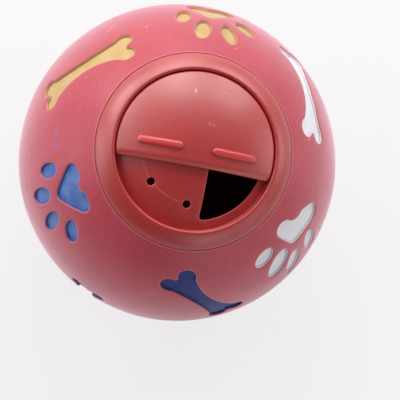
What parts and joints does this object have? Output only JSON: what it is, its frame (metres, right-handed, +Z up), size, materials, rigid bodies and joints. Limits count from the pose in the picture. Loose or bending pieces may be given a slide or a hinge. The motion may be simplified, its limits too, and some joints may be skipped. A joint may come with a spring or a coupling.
{
  "type": "treat dispensing ball",
  "caption": "Hollow rubber ball with painted recessed bones and paws and a turning half-round dial cover over a treat window.",
  "frame": {"origin": "lowest point of the ball, on the dial's axis, where the ball stands on the floor", "axes": "+Z up along the dial's axis to the dial, +X along the finger ribs towards the window side, +Y towards the covered half of the dial at rest"},
  "size_m": [0.11, 0.11, 0.1104],
  "materials": {
    "rubber": "matte moulded rubber",
    "dial_plastic": "moulded, satin",
    "cover_plastic": "moulded, satin",
    "zinc_steel": "zinc plated",
    "yellow_paint": "soft matte paint",
    "white_paint": "soft matte paint",
    "blue_paint": "soft matte paint"
  },
  "bodies": {
    "ball": {"ball_shell": "rubber", "dial_base": "dial_plastic", "upper_yellow_bone": "yellow_paint", "upper_yellow_paw": "yellow_paint", "upper_white_bone": "white_paint", "upper_white_paw": "white_paint", "upper_blue_bone": "blue_paint", "upper_blue_paw": "blue_paint", "middle_yellow_bone": "yellow_paint", "middle_yellow_paw": "yellow_paint", "middle_white_bone": "white_paint", "middle_white_paw": "white_paint", "middle_blue_bone": "blue_paint", "middle_blue_paw": "blue_paint", "lower_yellow_bone": "yellow_paint", "lower_white_paw": "white_paint", "lower_blue_paw": "blue_paint"},
    "cover": {"dial_cover": "cover_plastic", "pivot_screw": "zinc_steel", "flat_washer": "zinc_steel", "spring_washer": "zinc_steel"}
  },
  "joints": [
    {"name": "cover_turn", "type": "hinge", "parent": "ball", "child": "cover", "pos_m": [0, 0, 0.103], "axis": [0, 0, 1], "range_deg": [-90, 90]}
  ]
}
